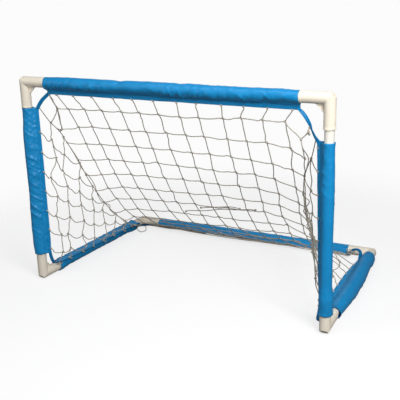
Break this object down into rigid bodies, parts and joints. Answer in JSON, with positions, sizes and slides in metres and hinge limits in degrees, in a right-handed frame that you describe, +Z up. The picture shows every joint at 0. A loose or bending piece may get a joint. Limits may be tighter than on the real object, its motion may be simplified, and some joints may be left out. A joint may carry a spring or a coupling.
{
  "type": "portable goal net",
  "caption": "Free-standing play goal: push-fit plastic tube frame in sewn cloth sleeves that carry a draped knotted net.",
  "frame": {"origin": "on the floor, midway between the two sides and between the front and the rear of the frame", "axes": "+X along the crossbar to the right as seen from the mouth, +Y from the mouth to the rear bar, +Z up"},
  "size_m": [0.9182, 0.5758, 0.6104],
  "materials": {
    "elbow_plastic": "satin moulded, warm off-white",
    "tube_plastic": "satin extruded, off-white",
    "sleeve_cloth": "azure plain-weave polyester with a soft sheen",
    "tape_cloth": "folded azure binding tape, stitched",
    "net_cord": "twisted off-white cord, matt"
  },
  "bodies": {
    "root": {"top_left_elbow": "elbow_plastic", "top_right_elbow": "elbow_plastic", "front_left_elbow": "elbow_plastic", "front_right_elbow": "elbow_plastic", "rear_left_elbow": "elbow_plastic", "rear_right_elbow": "elbow_plastic", "crossbar_tube_left": "tube_plastic", "crossbar_tube_right": "tube_plastic", "crossbar_ferrule": "elbow_plastic", "left_post_tube": "tube_plastic", "right_post_tube": "tube_plastic", "left_base_tube": "tube_plastic", "right_base_tube": "tube_plastic", "rear_tube_left": "tube_plastic", "rear_tube_right": "tube_plastic", "rear_ferrule": "elbow_plastic", "crossbar_sleeve": "sleeve_cloth", "left_post_sleeve": "sleeve_cloth", "right_post_sleeve": "sleeve_cloth", "left_base_sleeve": "sleeve_cloth", "right_base_sleeve": "sleeve_cloth", "rear_sleeve": "sleeve_cloth", "top_left_tape": "tape_cloth", "top_right_tape": "tape_cloth", "front_left_tape": "tape_cloth", "front_right_tape": "tape_cloth", "rear_left_tape": "tape_cloth", "rear_right_tape": "tape_cloth", "back_net": "net_cord", "left_side_net": "net_cord", "right_side_net": "net_cord", "left_seam_cord": "net_cord", "right_seam_cord": "net_cord"}
  },
  "joints": []
}
